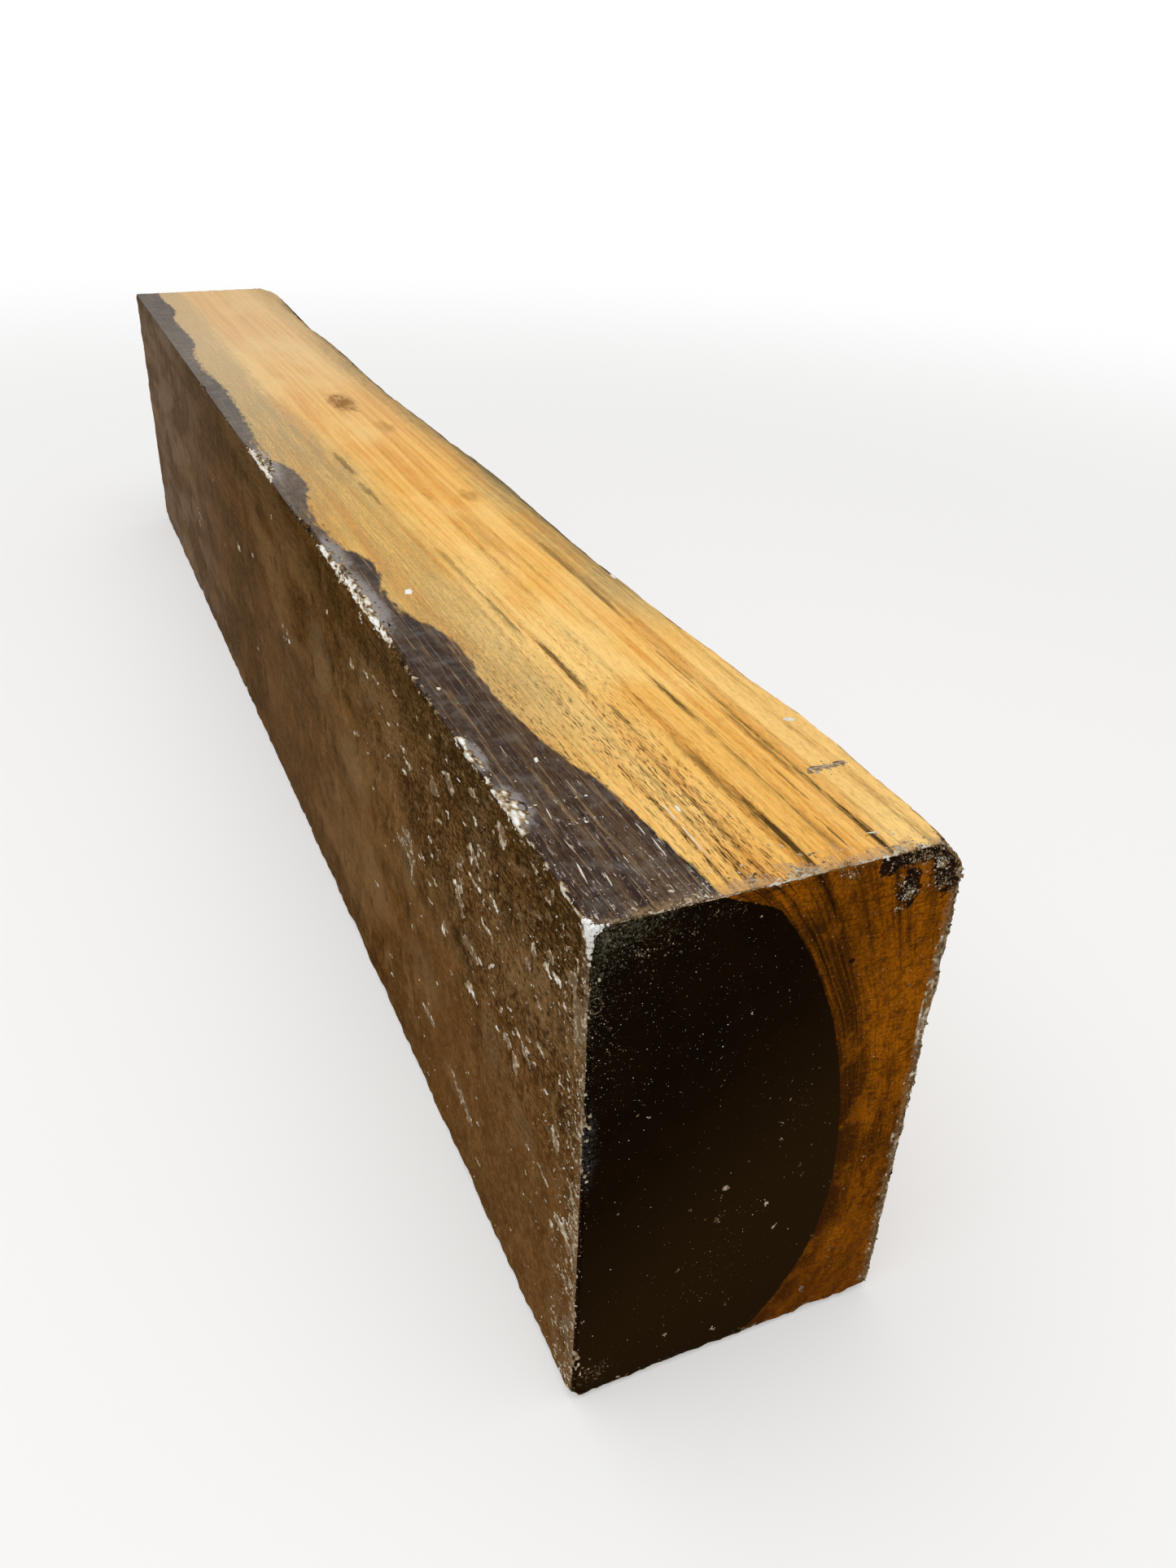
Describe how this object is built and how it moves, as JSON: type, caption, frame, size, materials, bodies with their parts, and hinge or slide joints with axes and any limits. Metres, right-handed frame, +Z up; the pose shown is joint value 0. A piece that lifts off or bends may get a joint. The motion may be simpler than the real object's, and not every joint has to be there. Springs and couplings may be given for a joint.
{
  "type": "lignum vitae billet",
  "caption": "Rough-sawn hardwood billet with brown heartwood, pale sapwood, one waney corner and waxed ends, standing on its narrow side.",
  "frame": {"origin": "middle of the bounding box, on the level that the billet stands on", "axes": "+Y along the grain to the far end, +X across the narrow side to the waney corner, +Z up"},
  "size_m": [0.08, 0.635, 0.129],
  "materials": {
    "wood": "sawn heartwood and sapwood, wax on the ends and corners"
  },
  "bodies": {
    "root": {"lignum_vitae_block": "wood"}
  },
  "joints": []
}
